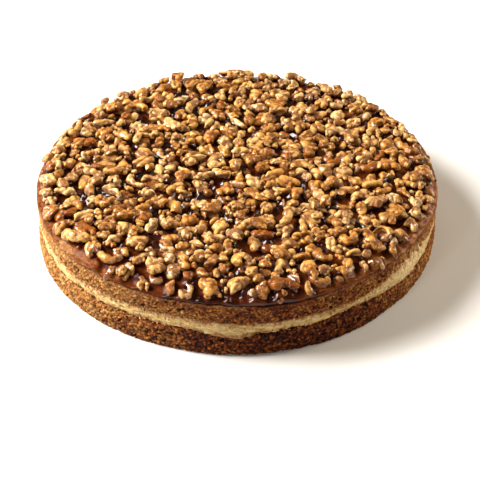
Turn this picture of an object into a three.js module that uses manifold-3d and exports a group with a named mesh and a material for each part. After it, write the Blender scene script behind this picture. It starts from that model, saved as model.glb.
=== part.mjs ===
// Walnut caramel layer cake: two round brown sponges with a cream filling between
// them, a thin caramel glaze over the top and a bed of chopped walnuts set in it.
//
// Millimetres, +Z up. The origin is the middle of the flat underside, and -Y is the
// front. Every layer runs right through the cake, so each one is a whole round slab.
// A slab is turned as a true round from its profile, and every vertex is then moved
// by settle(), which gives the baked, spread and stacked layers their uneven seams and
// outline. settle() depends on the place alone, so layers that touch keep one seam.
import * as THREE from "three";
import { mergeVertices } from "three/addons/utils/BufferGeometryUtils.js";
import Module from "manifold-3d";

// Driving dimensions
const FOOT_RADIUS = 125; // the bottom sponge where it stands
const SIDE_TAPER = 1.5; // how far the side leans in up to the glaze
const BOTTOM_SPONGE_HEIGHT = 15.5;
const CREAM_HEIGHT = 7.5;
const TOP_SPONGE_HEIGHT = 15.5;
const GLAZE_HEIGHT = 3;
const NUT_BED_RADIUS = 117.5; // middle of the bed's uneven edge
const NUT_BED_HEIGHT = 6.5; // from the glaze to the tops of the higher clusters

// Finer forms
const FOOT_ROUNDING = 1.6; // worn bottom edge of the cake
const SPONGE_BULGE = 0.9; // the side of each sponge stands out between its edges
const CREAM_RECESS = 0.7; // the filling lies a little behind the sponges
const GLAZE_ROUNDING = 3.2; // how far in from the side the glaze starts to curve down
const GLAZE_LIP = 0.6; // upright edge of the glaze below that curve
const NUT_BED_FILL = 2.6; // the bed is nowhere thinner, between clusters or at its rim
const NUT_CLUSTERS = 210; // lumps of nut over the whole bed
const CLUSTER_RADIUS = [7, 11]; // smallest and largest lump

// Heights of the seams
const CREAM_BOTTOM = BOTTOM_SPONGE_HEIGHT;
const CREAM_TOP = CREAM_BOTTOM + CREAM_HEIGHT;
const GLAZE_BOTTOM = CREAM_TOP + TOP_SPONGE_HEIGHT;
const GLAZE_TOP = GLAZE_BOTTOM + GLAZE_HEIGHT;

// Fineness of the meshes
const LAYER_SEGMENTS = 90;
const WALL_STEPS = 3; // from edge to edge of a sponge's side
const ROLL_STEPS = 3; // over the rounded rim of the glaze
const BED_DETAIL = 19; // splits of each edge of the icosahedron that the bed starts as

const wasm = await Module();
wasm.setup();

const GOLDEN_ANGLE = Math.PI * (3 - Math.sqrt(5));

// A repeatable number from 0 to 1 for each whole number n.
function chance(n) {
  const s = Math.sin(n * 12.9898 + 4.1414) * 43758.5453;
  return s - Math.floor(s);
}

const mix = (a, b, t) => a + (b - a) * t;

function smoothStep(low, high, value) {
  const t = Math.min(1, Math.max(0, (value - low) / (high - low)));
  return t * t * (3 - 2 * t);
}

// A smooth hump of height 1, centred on one direction round the cake.
function hump(angle, centreDegrees, widthDegrees) {
  const away = Math.atan2(
    Math.sin(angle - THREE.MathUtils.degToRad(centreDegrees)),
    Math.cos(angle - THREE.MathUtils.degToRad(centreDegrees)),
  );
  return Math.exp(-((away / THREE.MathUtils.degToRad(widthDegrees)) ** 2));
}

// How far each seam rises or sinks at the side, by direction.
const SEAM_LIFTS = [
  { z: 0, lift: () => 0 },
  {
    z: CREAM_BOTTOM,
    lift: (a) =>
      0.6 * Math.sin(3 * a + 0.7) +
      0.4 * Math.sin(8 * a + 2.1) -
      2.6 * hump(a, -91, 9) + // the filling sags at the front
      1.6 * hump(a, -57, 10),
  },
  {
    z: CREAM_TOP,
    lift: (a) =>
      0.5 * Math.sin(4 * a + 1.9) +
      0.4 * Math.sin(9 * a + 0.3) -
      1.3 * hump(a, -85, 11) +
      2.4 * hump(a, -40, 12), // and is smeared up the side at the right
  },
  {
    z: GLAZE_BOTTOM,
    lift: (a) =>
      0.5 * Math.sin(3 * a + 2.6) +
      0.35 * Math.sin(7 * a + 1.2) +
      0.2 * Math.sin(12 * a),
  },
  { z: GLAZE_TOP, lift: () => 0 },
];

// The lift at any height, straight between the two seams it lies between.
function seamLift(angle, z) {
  const above = SEAM_LIFTS.findIndex((seam) => z <= seam.z);
  if (above <= 0) return 0;
  const [low, high] = [SEAM_LIFTS[above - 1], SEAM_LIFTS[above]];
  const share = (z - low.z) / (high.z - low.z);
  return mix(low.lift(angle), high.lift(angle), share);
}

// How far the cake's outline stands out or in, by direction and height.
function outlineShift(angle, z) {
  const round =
    0.55 * Math.sin(2 * angle + 0.4) + 0.35 * Math.sin(5 * angle + 1.9);
  const uneven = 0.25 * Math.sin(11 * angle + z / 7);
  return round + uneven - (SIDE_TAPER * z) / GLAZE_BOTTOM;
}

// Moves one point of the true round cake to where it lies in the baked one. The middle
// stays flat and level, and the shift grows over the outer part of the slabs.
function settle(point) {
  const radius = Math.hypot(point.x, point.y);
  if (radius === 0) return point;
  const angle = Math.atan2(point.y, point.x);
  const share = smoothStep(SETTLED_SHARE, 1, radius / FOOT_RADIUS);
  const scale = 1 + (share * outlineShift(angle, point.z)) / radius;
  return point.set(
    point.x * scale,
    point.y * scale,
    point.z + share * seamLift(angle, point.z),
  );
}

// The lathe splits each of its four-sided faces along one diagonal. Where the profile
// runs back in to the axis the other diagonal is used, so that the top of one layer is
// split just like the underside of the next.
function matchDiagonals(geometry, profile, segments) {
  const faces = [];
  for (let i = 0; i < segments; i++) {
    for (let j = 0; j < profile.length - 1; j++) {
      const a = j + i * profile.length;
      const [b, d] = [a + profile.length, a + 1];
      const c = b + 1;
      const inward = profile[j + 1][0] < profile[j][0];
      faces.push(...(inward ? [a, b, c, a, c, d] : [a, b, d, c, d, b]));
    }
  }
  geometry.setIndex(faces);
}

// Turns a profile of [radius, height] points about the Z axis. The profile starts and
// ends on the axis and runs from the underside outwards and up. Each vertex then goes
// through move.
function turned(profile, segments, move) {
  const outline = profile.map(([r, z]) => new THREE.Vector2(r, z));
  const geometry = new THREE.LatheGeometry(outline, segments);
  matchDiagonals(geometry, profile, segments);
  geometry.rotateX(Math.PI / 2); // the lathe's own axis is Y
  const place = geometry.getAttribute("position");
  const point = new THREE.Vector3();
  for (let i = 0; i < place.count; i++) {
    move(point.fromBufferAttribute(place, i));
    place.setXYZ(i, point.x, point.y, point.z);
  }
  geometry.computeVertexNormals();
  return geometry;
}

// The rings of a layer's flat faces, the same on both sides of a seam: where settle()
// starts, and the edge of the filling.
const SETTLED_SHARE = 0.8; // of the radius, where the slabs are still flat
const SEAM_RINGS = [SETTLED_SHARE * FOOT_RADIUS, FOOT_RADIUS - CREAM_RECESS];

// One layer from its underside at `low` to its top at `high`. side is the list of
// [radius, height] points between the outermost rings of the two.
function slab(low, high, side) {
  const underside = [0, ...SEAM_RINGS].map((radius) => [radius, low]);
  const top = [0, ...SEAM_RINGS].map((radius) => [radius, high]).reverse();
  return turned([...underside, ...side, ...top], LAYER_SEGMENTS, settle);
}

// The side of a sponge: a barrel-shaped wall between its edges.
function spongeSide(low, high) {
  const wall = [];
  for (let i = 1; i < WALL_STEPS; i++) {
    const t = i / WALL_STEPS;
    const z = mix(low, high, t);
    wall.push([FOOT_RADIUS + SPONGE_BULGE * Math.sin(Math.PI * t), z]);
  }
  return [...wall, [FOOT_RADIUS, high]];
}

function bottomSponge() {
  const foot = [FOOT_RADIUS - 0.3 * FOOT_ROUNDING, 0.3 * FOOT_ROUNDING];
  return slab(0, CREAM_BOTTOM, [foot, ...spongeSide(0, CREAM_BOTTOM)]);
}

// The filling swells out a little between its recessed edges.
function creamFilling() {
  const middle = (CREAM_BOTTOM + CREAM_TOP) / 2;
  return slab(CREAM_BOTTOM, CREAM_TOP, [[FOOT_RADIUS, middle]]);
}

function topSponge() {
  const foot = [FOOT_RADIUS, CREAM_TOP];
  return slab(CREAM_TOP, GLAZE_BOTTOM, [
    foot,
    ...spongeSide(CREAM_TOP, GLAZE_BOTTOM),
  ]);
}

// The glaze is level in the middle and rolls over to the side in a quarter ellipse.
function caramelGlaze() {
  const underside = [0, ...SEAM_RINGS, FOOT_RADIUS].map((radius) => [
    radius,
    GLAZE_BOTTOM,
  ]);
  const roll = [];
  for (let i = 0; i <= ROLL_STEPS; i++) {
    const turn = (i / ROLL_STEPS) * (Math.PI / 2);
    roll.push([
      FOOT_RADIUS - GLAZE_ROUNDING * (1 - Math.cos(turn)),
      mix(GLAZE_BOTTOM + GLAZE_LIP, GLAZE_TOP, Math.sin(turn)),
    ]);
  }
  const level = [
    [SEAM_RINGS[0], GLAZE_TOP],
    [0, GLAZE_TOP],
  ];
  return turned([...underside, ...roll, ...level], LAYER_SEGMENTS, settle);
}

// Lumps of nut on a sunflower spiral, which spaces them evenly over the round, each
// nudged off its place and of its own width and height.
function nutClusters() {
  return Array.from({ length: NUT_CLUSTERS }, (_, i) => {
    const out = NUT_BED_RADIUS * Math.sqrt((i + 0.5) / NUT_CLUSTERS);
    const angle = i * GOLDEN_ANGLE;
    return {
      x: out * Math.cos(angle) + mix(-3, 3, chance(3 * i)),
      y: out * Math.sin(angle) + mix(-3, 3, chance(3 * i + 1)),
      radius: mix(...CLUSTER_RADIUS, chance(3 * i + 2)),
      height: NUT_BED_HEIGHT * mix(0.68, 1, chance(7 * i + 5)),
    };
  });
}

// The bed's thickness at a place: the highest of the domes over it, and no thinner than
// the bits that fill the gaps between clusters.
function bedThickness(x, y, clusters) {
  return clusters.reduce((highest, c) => {
    const away = Math.hypot(x - c.x, y - c.y) / c.radius;
    return away < 1
      ? Math.max(highest, c.height * Math.sqrt(1 - away * away))
      : highest;
  }, NUT_BED_FILL);
}

// The ragged edge of the bed, by direction.
function bedEdge(angle) {
  return (
    1.4 * Math.sin(7 * angle + 0.9) +
    1.1 * Math.sin(16 * angle + 2.2) +
    0.8 * Math.sin(29 * angle)
  );
}

// A closed geometry as a solid that can be cut.
function asSolid(geometry) {
  geometry.deleteAttribute("normal");
  geometry.deleteAttribute("uv");
  const merged = mergeVertices(geometry);
  const vertProperties = new Float32Array(merged.getAttribute("position").array);
  const triVerts = new Uint32Array(merged.getIndex().array);
  return new wasm.Manifold(
    new wasm.Mesh({ numProp: 3, vertProperties, triVerts }),
  );
}

function asGeometry(solid) {
  const mesh = solid.getMesh();
  const geometry = new THREE.BufferGeometry();
  const place = new THREE.BufferAttribute(mesh.vertProperties, 3);
  geometry.setAttribute("position", place);
  geometry.setIndex(new THREE.BufferAttribute(mesh.triVerts, 1));
  geometry.computeVertexNormals();
  return geometry;
}

// A ball of even triangles is flattened into a disc, its upper half keeping equal areas
// equal, then lifted to the bed's thickness. Its lower half is pressed below the glaze
// and cut off level with it.
function walnutBed() {
  const clusters = nutClusters();
  const ball = new THREE.IcosahedronGeometry(1, BED_DETAIL);
  const place = ball.getAttribute("position");
  const point = new THREE.Vector3();
  for (let i = 0; i < place.count; i++) {
    point.fromBufferAttribute(place, i).normalize();
    const angle = Math.atan2(point.y, point.x);
    const share = Math.sqrt(1 - Math.abs(point.z)); // 0 in the middle, 1 at the rim
    const radius =
      share * (NUT_BED_RADIUS + smoothStep(0.85, 1, share) * bedEdge(angle));
    const [x, y] = [radius * Math.cos(angle), radius * Math.sin(angle)];
    const rise = point.z > 0 ? bedThickness(x, y, clusters) : -NUT_BED_FILL;
    place.setXYZ(i, x, y, GLAZE_TOP + rise);
  }
  const size = 3 * NUT_BED_RADIUS;
  const below = new THREE.BoxGeometry(size, size, 2 * NUT_BED_FILL);
  below.translate(0, 0, GLAZE_TOP - NUT_BED_FILL);
  return asGeometry(asSolid(ball).subtract(asSolid(below)));
}

// One named node, with the finish of its layer.
function node(name, geometry, color, roughness) {
  const finish = { color, roughness, metalness: 0 };
  const mesh = new THREE.Mesh(
    geometry,
    new THREE.MeshStandardMaterial(finish),
  );
  mesh.name = name;
  return mesh;
}

const cake = new THREE.Group();
cake.name = "walnut_caramel_layer_cake";
cake.add(
  node("bottom_sponge", bottomSponge(), 0x8a5527, 0.95),
  node("cream_filling", creamFilling(), 0xe2c088, 0.6),
  node("top_sponge", topSponge(), 0x935c2b, 0.95),
  node("caramel_glaze", caramelGlaze(), 0x5a2a0e, 0.12),
  node("walnut_bed", walnutBed(), 0xc08744, 0.4),
);

export default cake;
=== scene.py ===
"""A walnut caramel layer cake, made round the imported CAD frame.

Every shape is worked out in millimetres as whole numpy arrays and put into its mesh in
metres. Directions round the cake are in degrees, with 0 at +X and -90 at the front.
"""
import math

import bpy
import numpy as np
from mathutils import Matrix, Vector


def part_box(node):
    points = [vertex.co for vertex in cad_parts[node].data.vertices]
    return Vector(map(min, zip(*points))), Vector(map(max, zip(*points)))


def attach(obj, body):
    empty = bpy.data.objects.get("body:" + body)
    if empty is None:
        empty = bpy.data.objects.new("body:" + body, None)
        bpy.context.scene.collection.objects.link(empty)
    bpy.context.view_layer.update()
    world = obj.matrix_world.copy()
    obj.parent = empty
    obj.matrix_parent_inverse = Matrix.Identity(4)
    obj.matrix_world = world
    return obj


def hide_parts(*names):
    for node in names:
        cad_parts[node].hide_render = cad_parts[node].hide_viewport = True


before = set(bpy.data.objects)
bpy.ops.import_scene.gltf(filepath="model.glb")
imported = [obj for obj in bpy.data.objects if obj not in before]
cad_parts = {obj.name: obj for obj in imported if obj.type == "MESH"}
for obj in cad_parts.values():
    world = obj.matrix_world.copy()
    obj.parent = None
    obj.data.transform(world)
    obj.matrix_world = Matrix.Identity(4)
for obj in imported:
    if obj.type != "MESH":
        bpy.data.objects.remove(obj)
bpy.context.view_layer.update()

MM = 0.001  # one millimetre in the frame's metres

# Heights that the CAD layers give, in millimetres
SPONGE_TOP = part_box("caramel_glaze")[0].z / MM
GLAZE_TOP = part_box("caramel_glaze")[1].z / MM
CAKE_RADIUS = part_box("bottom_sponge")[1].x / MM


# ---------------------------------------------------------------- camera

# In metres, degrees and, for the lens, millimetres of a 36 mm sensor
CAMERA_AIM = Vector((0.002, -0.0434, 0.020))
CAMERA_DISTANCE = 0.789
CAMERA_ELEVATION = 37.4
CAMERA_LENS, CAMERA_SENSOR = 96.8, 36


def place_camera():
    """A camera in front of the cake, looking down on it."""
    tilt = math.radians(CAMERA_ELEVATION)
    back = Vector((0, -math.cos(tilt), math.sin(tilt)))
    camera = bpy.data.objects.new("camera", bpy.data.cameras.new("camera"))
    camera.data.lens = CAMERA_LENS
    camera.data.sensor_width = CAMERA_SENSOR
    camera.data.clip_start = 0.01
    camera.location = CAMERA_AIM + CAMERA_DISTANCE * back
    camera.rotation_euler = back.to_track_quat("Z", "Y").to_euler()
    bpy.context.scene.collection.objects.link(camera)
    bpy.context.scene.camera = camera


# ---------------------------------------------------------------- noise


def smooth_step(low, high, value):
    """0 below low, 1 above high, and the cubic 3t^2 - 2t^3 between them."""
    t = np.clip((value - low) / (high - low), 0, 1)
    return t * t * (3 - 2 * t)


def lattice(cells, seed):
    """A repeatable number from 0 to 1 for each whole-number cell (..., 3). The indices are
    multiplied by large odd numbers, joined by exclusive or, and stirred in 32 bits."""
    i = cells.astype(np.int64).astype(np.uint32)
    big = [np.uint32(n) for n in (374761393, 668265263, 2246822519, 3266489917)]
    h = i[..., 0] * big[0] ^ i[..., 1] * big[1] ^ i[..., 2] * big[2]
    h = h ^ np.uint32(seed * 2654435761 % 2**32)
    h = (h ^ (h >> np.uint32(15))) * big[2]
    h = (h ^ (h >> np.uint32(13))) * big[3]
    return (h ^ (h >> np.uint32(16))) / 2**32


def swell(points, size, seed=0):
    """Gradient noise from about -1 to 1 with features `size` across. Each corner of the cell
    round a point has a repeatable gradient, and the products of gradient and offset are
    blended by the quintic 6t^5 - 15t^4 + 10t^3."""
    at = points / size + 31.7
    cell = np.floor(at)
    offset = at - cell
    ease = offset**3 * (offset * (offset * 6 - 15) + 10)
    total = np.zeros(at.shape[:-1])
    for corner in np.ndindex(2, 2, 2):
        numbers = [lattice(cell + corner, 3 * seed + k) for k in range(3)]
        gradient = 2 * np.stack(numbers, -1) - 1
        weight = np.prod(np.where(corner, ease, 1 - ease), axis=-1)
        total += weight * ((offset - corner) * gradient).sum(-1)
    return 1.7 * total


def nearest_grain(points, size, seed=0):
    """Distance to the nearest grain as a share of `size`, and that grain's own number from
    0 to 1. Space is cut into cubes with one grain somewhere in each, and the grains of the
    27 cubes round a point are tried."""
    at = points / size
    home = np.floor(at)
    best = np.full(at.shape[:-1], np.inf)
    number = np.zeros(at.shape[:-1])
    for step in np.ndindex(3, 3, 3):
        cell = home + step - 1
        places = [lattice(cell, 4 * seed + k) for k in range(3)]
        away = np.linalg.norm(at - cell - np.stack(places, -1), axis=-1)
        number = np.where(away < best, lattice(cell, 4 * seed + 3), number)
        best = np.minimum(away, best)
    return best, number


# ---------------------------------------------------------------- meshes


def put_mesh(name, points, faces, slot, **attributes):
    """Makes a piece of the cake. points (n, 3) are in millimetres, faces is a list of index
    arrays with one face a row, and each further keyword is a value for every vertex."""
    mesh = bpy.data.meshes.new(name)
    corners = np.concatenate([f.ravel() for f in faces])
    sizes = np.concatenate([np.full(len(f), f.shape[1]) for f in faces])
    starts = np.concatenate([[0], np.cumsum(sizes)[:-1]])
    mesh.vertices.add(len(points))
    mesh.vertices.foreach_set("co", (points * MM).astype(np.float32).ravel())
    mesh.loops.add(len(corners))
    mesh.loops.foreach_set("vertex_index", corners.astype(np.int32))
    mesh.polygons.add(len(sizes))
    mesh.polygons.foreach_set("loop_start", starts.astype(np.int32))
    mesh.polygons.foreach_set("use_smooth", np.ones(len(sizes), bool))
    mesh.update(calc_edges=True)
    for label, values in attributes.items():
        layer = mesh.attributes.new(label, "FLOAT", "POINT")
        layer.data.foreach_set("value", values.astype(np.float32).ravel())
    piece = bpy.data.objects.new(name, mesh)
    bpy.context.scene.collection.objects.link(piece)
    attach(piece, "root")
    return piece


def band_faces(rows, columns):
    """Faces of a grid of vertices whose columns close into a ring: (i, j), (i, j + 1),
    (i + 1, j + 1), (i + 1, j), with j + 1 taken round."""
    i, j = np.mgrid[0 : rows - 1, 0:columns]
    after = (j + 1) % columns
    corners = [i * columns + j, i * columns + after]
    corners += [(i + 1) * columns + after, (i + 1) * columns + j]
    return np.stack(corners, -1).reshape(-1, 4)


def lid_faces(rows, columns):
    """The two many-sided faces that close the first and the last ring of such a grid."""
    ring = np.arange(columns)
    return np.stack([ring[::-1], ring + (rows - 1) * columns])


def layer_edge(name):
    """Outer edge of a CAD layer, as a function of direction that gives its lowest and highest
    height and its largest radius. The vertices in the outer tenth are grouped by direction,
    and the values are straight between the groups."""
    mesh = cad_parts[name].data
    flat = np.empty(3 * len(mesh.vertices), np.float32)
    mesh.vertices.foreach_get("co", flat)
    x, y, z = flat.reshape(-1, 3).T / MM
    outer = np.hypot(x, y) > 0.9 * CAKE_RADIUS
    x, y, z = x[outer], y[outer], z[outer]
    turn = np.round(np.degrees(np.arctan2(y, x)), 1)
    turns, group = np.unique(turn, return_inverse=True)
    low, high = np.full(len(turns), np.inf), np.full(len(turns), -np.inf)
    radius = np.zeros(len(turns))
    np.minimum.at(low, group, z)
    np.maximum.at(high, group, z)
    np.maximum.at(radius, group, np.hypot(x, y))
    return lambda at: [np.interp(at, turns, v, period=360) for v in (low, high, radius)]


def round_points(direction, radius, height):
    """Points from directions in degrees, radii and heights, as an (..., 3) array."""
    turn = np.radians(direction)
    both = np.broadcast_arrays(radius * np.cos(turn), radius * np.sin(turn), height)
    return np.stack(both, -1)


def hump(direction, centre, width):
    """A bell of height 1 round one direction: exp(-(difference / width)^2)."""
    away = (direction - centre + 180) % 360 - 180
    return np.exp(-((away / width) ** 2))


SHOULDER_RADIUS, SHOULDER_WIDTH = 112, 13  # where the top starts to bend down, and how wide


def shoulder_drop(radius):
    """How far the top is bent down at a radius, from 0 at the inner edge of the cake's
    shoulder to 1 at its side: the square of the way between them."""
    return (np.maximum(radius - SHOULDER_RADIUS, 0) / SHOULDER_WIDTH) ** 2


# ---------------------------------------------------------------- the filling's seams

SAG_AT = -91  # the direction in which the filling hangs lowest
SMEAR_AT, SMEAR_WIDTH = -33, 14  # where it is smeared up over the sponge above


def filling_sags(direction):
    """How much lower than the CAD layer's the filling's lower edge hangs, in millimetres: a
    bell at the front."""
    return 1.1 * hump(direction, SAG_AT, 6)


def filling_grows(direction):
    """How many millimetres each seam of the filling lies beyond the CAD layer's: it is
    thicker left of the front and thinner right of it, by two bells."""
    return 1.0 * hump(direction, -130, 34) - 0.7 * hump(direction, -57, 16)


def filling_smeared(direction):
    """Where the filling is smeared over its neighbours, from 0 to 1."""
    return hump(direction, SMEAR_AT, SMEAR_WIDTH)


# ---------------------------------------------------------------- sponge

SIDE_COLUMNS = 1600  # round the side: a step of about 0.5 mm
SIDE_ROWS = 34  # up the side of a sponge
FOLD = np.array([7.0, 4.0, 2.0, 0.8])  # the side turns in under and over by this much
CRUMB_SIZE = 1.55  # grains of torn crumb
SHOULDER_DEPTH = 3.2  # how much lower the sponge's upper edge lies at the side than inside
SOAKED_DEPTH = 7  # how deep the caramel soaks in from the top


def folded_rows(rows):
    """Rows of a layer's side: the share of its height, and how far the row lies inside. The
    first and last rows lie on the seams and come in from FOLD."""
    share = np.concatenate([np.zeros(len(FOLD)), np.linspace(0, 1, rows), np.ones(len(FOLD))])
    inset = np.concatenate([FOLD, np.zeros(rows), FOLD[::-1]])
    return share[:, None], inset[:, None]


def crumb_relief(points):
    """How far torn crumb stands out, in millimetres, how open it is, which the finish paints as
    shade, and the tone of the nearest grain, both from 0 to 1. The grains are rounded by the
    distance to the nearest of them; between them lie crevices, and here and there a pore where
    noise passes a threshold; slow swells bend the side."""
    torn = points + 0.45 * np.stack([swell(points, 1.4, s) for s in (1, 2, 3)], -1)
    grain, own = nearest_grain(torn * [1, 1, 1.15], CRUMB_SIZE, 1)
    clump = (1 - smooth_step(0.12, 0.8, grain)) * (0.45 + 0.55 * own)
    open_here = swell(torn * [1, 1, 1.4], 3.4, 2) + 0.35 * swell(torn, 1.5, 9)
    pore = smooth_step(0.42, 0.72, open_here)
    slow = 0.35 * swell(points, 16, 4) + 0.35 * swell(points, 6, 5)
    relief = 0.95 * clump - 1.1 * pore + slow + 0.2 * swell(points, 0.9, 6)
    # The second value is painted shade, darkest in the crevices between grains and in the pores.
    return relief, np.clip(0.9 * (1 - clump) ** 2 + pore, 0, 1), own


def sponge_paleness_and_painted_light(direction, share, smooth, glazed):
    """How pale the crumb is painted. The wide bell on the left and the low one on the right are
    painted light where the lamps fall, the dip at the front of the lower sponge is painted shade,
    and the upright streaks that the smeared filling left next to its seam, where noise passes a
    threshold, are the crumb's own colour."""
    # Painted light: the crumb is paler on the left and, less, on the right, where the lamps fall.
    pale = 0.55 * hump(direction, 208, 55) + 0.25 * hump(direction, -15, 36) + 0 * share
    # Painted shade: the lower sponge is darker at the front, away from the lamps.
    pale -= 0 if glazed else 0.35 * hump(direction, -85, 38)
    streaks = smooth_step(-0.15, 0.3, swell(smooth * [1, 1, 0.3], 1.8, 12))
    wiped = filling_smeared(direction) * streaks
    pale += 0.95 * wiped * (1 - share) if glazed else 0.7 * wiped * share
    return np.clip(pale + 0.25 * swell(smooth, 9, 11), -0.5, 1.6)


def sponge_layer(name):
    """A sponge: its side stands between the CAD layer's lower and upper edges, is rounded at
    the cut edges and ragged by noise, and is pushed in and out by the crumb's relief. The
    upper sponge is bent down at its shoulder and soaked with caramel from the top."""
    share, inset = folded_rows(SIDE_ROWS)
    direction = np.linspace(-180, 180, SIDE_COLUMNS, endpoint=False)
    low, high, outline = layer_edge(name)(direction)
    rim = round_points(direction, outline, 0 * outline)
    ragged = 0.55 * swell(rim, 5, 7) + 0.4 * swell(rim, 1.8, 8)
    glazed = name == "top_sponge"
    grows = filling_grows(direction)
    gives_way = 0.6 * grows + filling_sags(direction)
    low, high = (low + grows, high) if glazed else (low, high - gives_way)
    foot = ragged if glazed else 0 * ragged
    height = low + foot + share * (high + ragged - low - foot)
    edge = np.maximum(1 - 2 * share, 0 if glazed else 2 * share - 1)
    radius = outline - 0.5 * edge**2 - 0.5 * edge**10 - inset
    if glazed:
        flattened = ragged * smooth_step(0, 3, inset)
        height = height - share**6 * (flattened + SHOULDER_DEPTH * shoulder_drop(radius))
    smooth = round_points(direction, radius, height)
    relief, pore, tone = crumb_relief(smooth)
    wet_edge = height + 1.5 * swell(rim, 6, 10)
    soaked = smooth_step(SPONGE_TOP - SOAKED_DEPTH, SPONGE_TOP, wet_edge)
    relief = relief * (1 - smooth_step(0, 4, inset)) * (1 - 0.3 * soaked)
    points = round_points(direction, radius + relief, height)
    rows = len(share)
    piece = put_mesh(
        name.replace("_sponge", "_sponge_crumb"),
        points.reshape(-1, 3),
        [band_faces(rows, SIDE_COLUMNS), lid_faces(rows, SIDE_COLUMNS)],
        "sponge",
        # pore carries painted shade for the crevices and pores, less where the crumb is soaked.
        pore=pore * (1 - 0.6 * soaked),
        tone=tone,
        soaked=soaked,
        # pale carries painted light and shade by direction, and the filling's real smeared streaks.
        pale=sponge_paleness_and_painted_light(direction, share, smooth, glazed),
    )
    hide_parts(name)
    return piece


# ---------------------------------------------------------------- cream

CREAM_ROWS = 18
SMEAR_HEIGHT = 9.5  # roughly how far the smear's highest tips climb


def cream_relief(smooth, share, smeared):
    """How far the filling stands out, in millimetres: noise drawn out along the side, as a
    spreader leaves it, finer noise, round dents at half of the grains' places, and torn
    holes in the upper part of the smear."""
    along = smooth * [1, 1, 3.5]
    relief = 0.4 * swell(along, 9, 26) + 0.3 * swell(along, 3.2, 27) + 0.35 * swell(smooth, 2.2, 30)
    dent, chosen = nearest_grain(smooth, 2.6, 28)
    relief -= 0.8 * (1 - smooth_step(0.08, 0.4, dent)) * (chosen > 0.5)
    holes = smooth_step(0.05, 0.3, swell(smooth * [1, 1, 0.6], 2.6, 32))
    relief -= 2.0 * holes * smeared * smooth_step(0.45, 0.75, share)
    return relief


def cream_layer():
    """The filling: a soft band between the sponges, swollen in the middle by half a sine and
    drawn in at its edges. It climbs over the sponge above in a thin smear right of the
    front, and where it sags it hangs over the one below in a thin lip."""
    share, inset = folded_rows(CREAM_ROWS)
    direction = np.linspace(-180, 180, SIDE_COLUMNS, endpoint=False)
    low, high, outline = layer_edge("cream_filling")(direction)
    rim = round_points(direction, outline, 0 * outline)
    smeared = filling_smeared(direction)
    smear = SMEAR_HEIGHT * smeared * (0.65 + 0.4 * swell(rim, 6, 21) + 0.5 * swell(rim, 2, 31))
    grows = filling_grows(direction)
    high = high + grows + smear + 0.9 * swell(rim, 7, 22) + 0.7 * swell(rim, 2.6, 23)
    low = low - 0.6 * grows - filling_sags(direction) - 1.2 * smeared
    low = low + 0.9 * swell(rim, 8, 24) + 0.7 * swell(rim, 2.8, 25)
    height = low + share * (high - low)
    proud = 1.1 * smeared + 0.35 * hump(direction, SAG_AT, 9) - 0.3
    proud = proud + 0.8 * swell(rim, 9, 29) * (1 - smeared)
    swelling = 0.35 * np.sin(np.pi * share) - 0.5 * np.abs(2 * share - 1) ** 6
    lip = hump(direction, SAG_AT, 7) * np.exp(-((share / 0.13) ** 2))
    radius = outline + swelling + proud + 1.8 * lip - inset
    smooth = round_points(direction, radius, height)
    relief = cream_relief(smooth, share, smeared) * (1 - smooth_step(0, 4, inset))
    points = round_points(direction, radius + relief, height)
    rows = len(share)
    piece = put_mesh(
        "cream_band",
        points.reshape(-1, 3),
        [band_faces(rows, SIDE_COLUMNS), lid_faces(rows, SIDE_COLUMNS)],
        "cream",
        edge=np.abs(2 * share - 1) + 0 * relief,
        smeared=smeared + 0 * relief,
    )
    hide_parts("cream_filling")
    return piece


# ---------------------------------------------------------------- nut shapes

PATH_STEPS = 41  # points of a fold's middle line
MOST_FOLDS = 5  # of one piece
PIECE_SIZES = 0.85, 1.15  # the pieces of a kind differ in size by these factors
BESIDE_SINKS = 0.05  # millimetres for each square millimetre that a fold lies beside the first
AXIS_STEPS = 9  # places along a fold where others measure how near it is
SEAM_REACH = 2.4  # how near to each other two folds start to blend
STEEPEST = 35  # the most degrees that a fold climbs by
KNIFE_CUTS_OFF = 0.94  # share of what stands out beyond a knife's plane that goes


def fold_paths(heading, length, curl, sway, anchor):
    """Middle lines of folds, (folds, PATH_STEPS, 3), with the share `anchor` of each at the
    origin. The heading starts at `heading` there, turns evenly through `curl` over the
    whole line and sways once to each side; its cosine and sine are summed along the line."""
    u = np.linspace(0, 1, PATH_STEPS)
    turn = heading[:, None] + curl[:, None] * (u - anchor) + sway[:, None] * np.sin(2 * np.pi * u)
    step = (length / (PATH_STEPS - 1))[:, None]
    line = np.stack([np.cos(turn) * step, np.sin(turn) * step, 0 * turn], -1).cumsum(axis=1)
    return line - line[:, [round(anchor * (PATH_STEPS - 1))]]


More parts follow.
